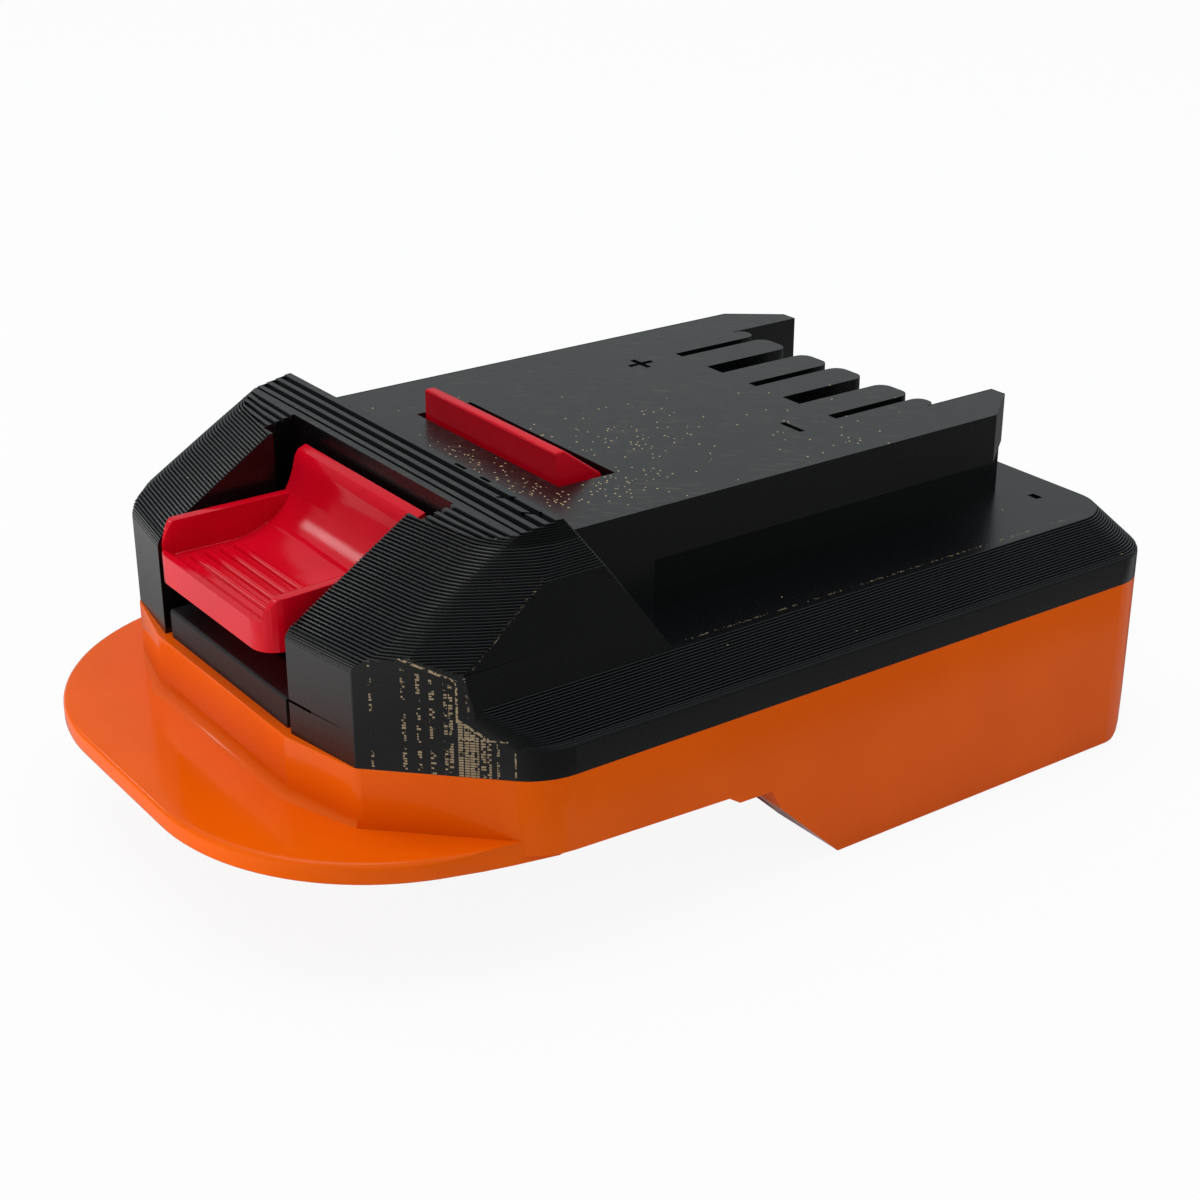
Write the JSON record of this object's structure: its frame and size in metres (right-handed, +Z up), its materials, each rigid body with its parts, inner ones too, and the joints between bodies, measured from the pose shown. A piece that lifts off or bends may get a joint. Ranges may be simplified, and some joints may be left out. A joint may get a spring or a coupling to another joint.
{
  "type": "tool battery adapter",
  "caption": "Slide-on adapter that lets a battery pack of one system power a tool of another: dock shell with a front tongue, railed upper shell with terminal slots, sprung release latch",
  "frame": {"origin": "centre of the bounding box on its bottom plane, under the dock block", "axes": "+X to the right seen from the front, +Y from the tongue to the rear, +Z up"},
  "size_m": [0.08, 0.1198, 0.0451],
  "materials": {
    "dock_orange": "glossy moulded plastic",
    "shell_black": "3-D printed, with fine layer lines",
    "deck_black": "3-D printed",
    "latch_red": "glossy",
    "spring_steel": "drawn wire",
    "insulator_black": "moulded",
    "contact_brass": "pressed sheet",
    "blade_plated": "tin plated",
    "wire_red": "insulation",
    "wire_black": "insulation",
    "wire_yellow": "insulation",
    "sleeve_black": "shrink tube",
    "screw_steel": "plated",
    "insert_brass": "turned"
  },
  "bodies": {
    "housing": {"lower_housing": "dock_orange", "upper_housing": "shell_black", "inner_deck": "deck_black", "latch_spring_left": "spring_steel", "latch_spring_right": "spring_steel", "contact_carrier": "insulator_black", "positive_clip": "contact_brass", "negative_clip": "contact_brass", "sense_clip": "contact_brass", "dock_terminal_block": "insulator_black", "positive_blade": "blade_plated", "negative_blade": "blade_plated", "sense_blade": "blade_plated", "positive_wire": "wire_red", "negative_wire": "wire_black", "sense_wire": "wire_yellow", "lead_sleeves": "sleeve_black", "housing_screws": "screw_steel", "threaded_inserts": "insert_brass", "carrier_screws": "screw_steel", "terminal_block_screws": "screw_steel"},
    "latch": {"release_latch": "latch_red"}
  },
  "joints": [
    {"name": "latch_press", "type": "slide", "parent": "housing", "child": "latch", "axis": [0, 0, -1], "range_m": [0, 0.0038], "stiffness_N_per_m": 800, "springref_m": -0.004, "deforming": ["latch_spring_left", "latch_spring_right"]}
  ]
}
